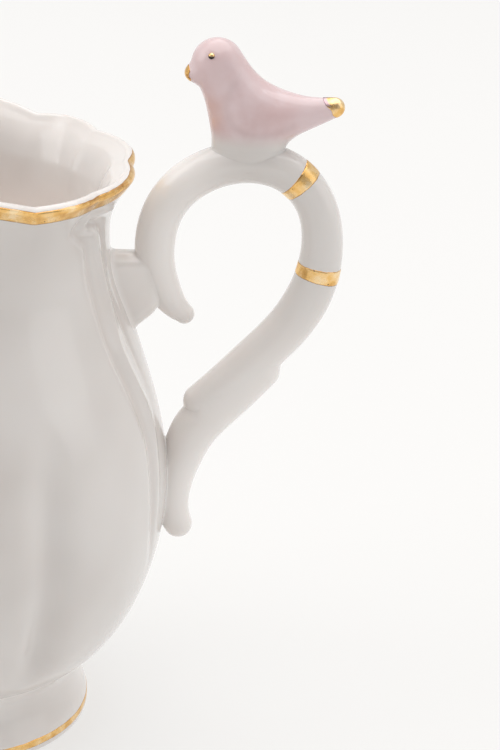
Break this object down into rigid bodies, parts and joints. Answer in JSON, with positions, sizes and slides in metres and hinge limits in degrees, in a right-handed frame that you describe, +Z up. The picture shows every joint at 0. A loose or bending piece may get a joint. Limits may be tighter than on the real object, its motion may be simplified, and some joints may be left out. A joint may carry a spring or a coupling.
{
  "type": "cream jug",
  "caption": "Porcelain cream jug with a lobed belly, wavy gilded lip, scroll handle and a small pink bird perched on the handle, for serving milk or cream.",
  "frame": {"origin": "under the middle of the jug's bounding box, on the plane its foot stands on", "axes": "+Z up, +X towards the handle, -X towards the spout, +Y to the jug's far side with the handle on the right"},
  "size_m": [0.114, 0.08, 0.1304],
  "materials": {
    "porcelain": "clear gloss glaze over white porcelain",
    "pink_enamel": "gloss pale pink enamel fading to white",
    "gold": "burnished gold film"
  },
  "bodies": {
    "root": {"jug_body": "porcelain", "foot_ring": "porcelain", "handle_lug": "porcelain", "upper_scroll": "porcelain", "lower_scroll": "porcelain", "bird_perch": "porcelain", "bird": "pink_enamel", "beak_gilding": "gold", "tail_gilding": "gold", "left_eye": "gold", "right_eye": "gold", "rim_gilding": "gold", "foot_gilding": "gold", "upper_handle_band": "gold", "lower_handle_band": "gold"}
  },
  "joints": []
}
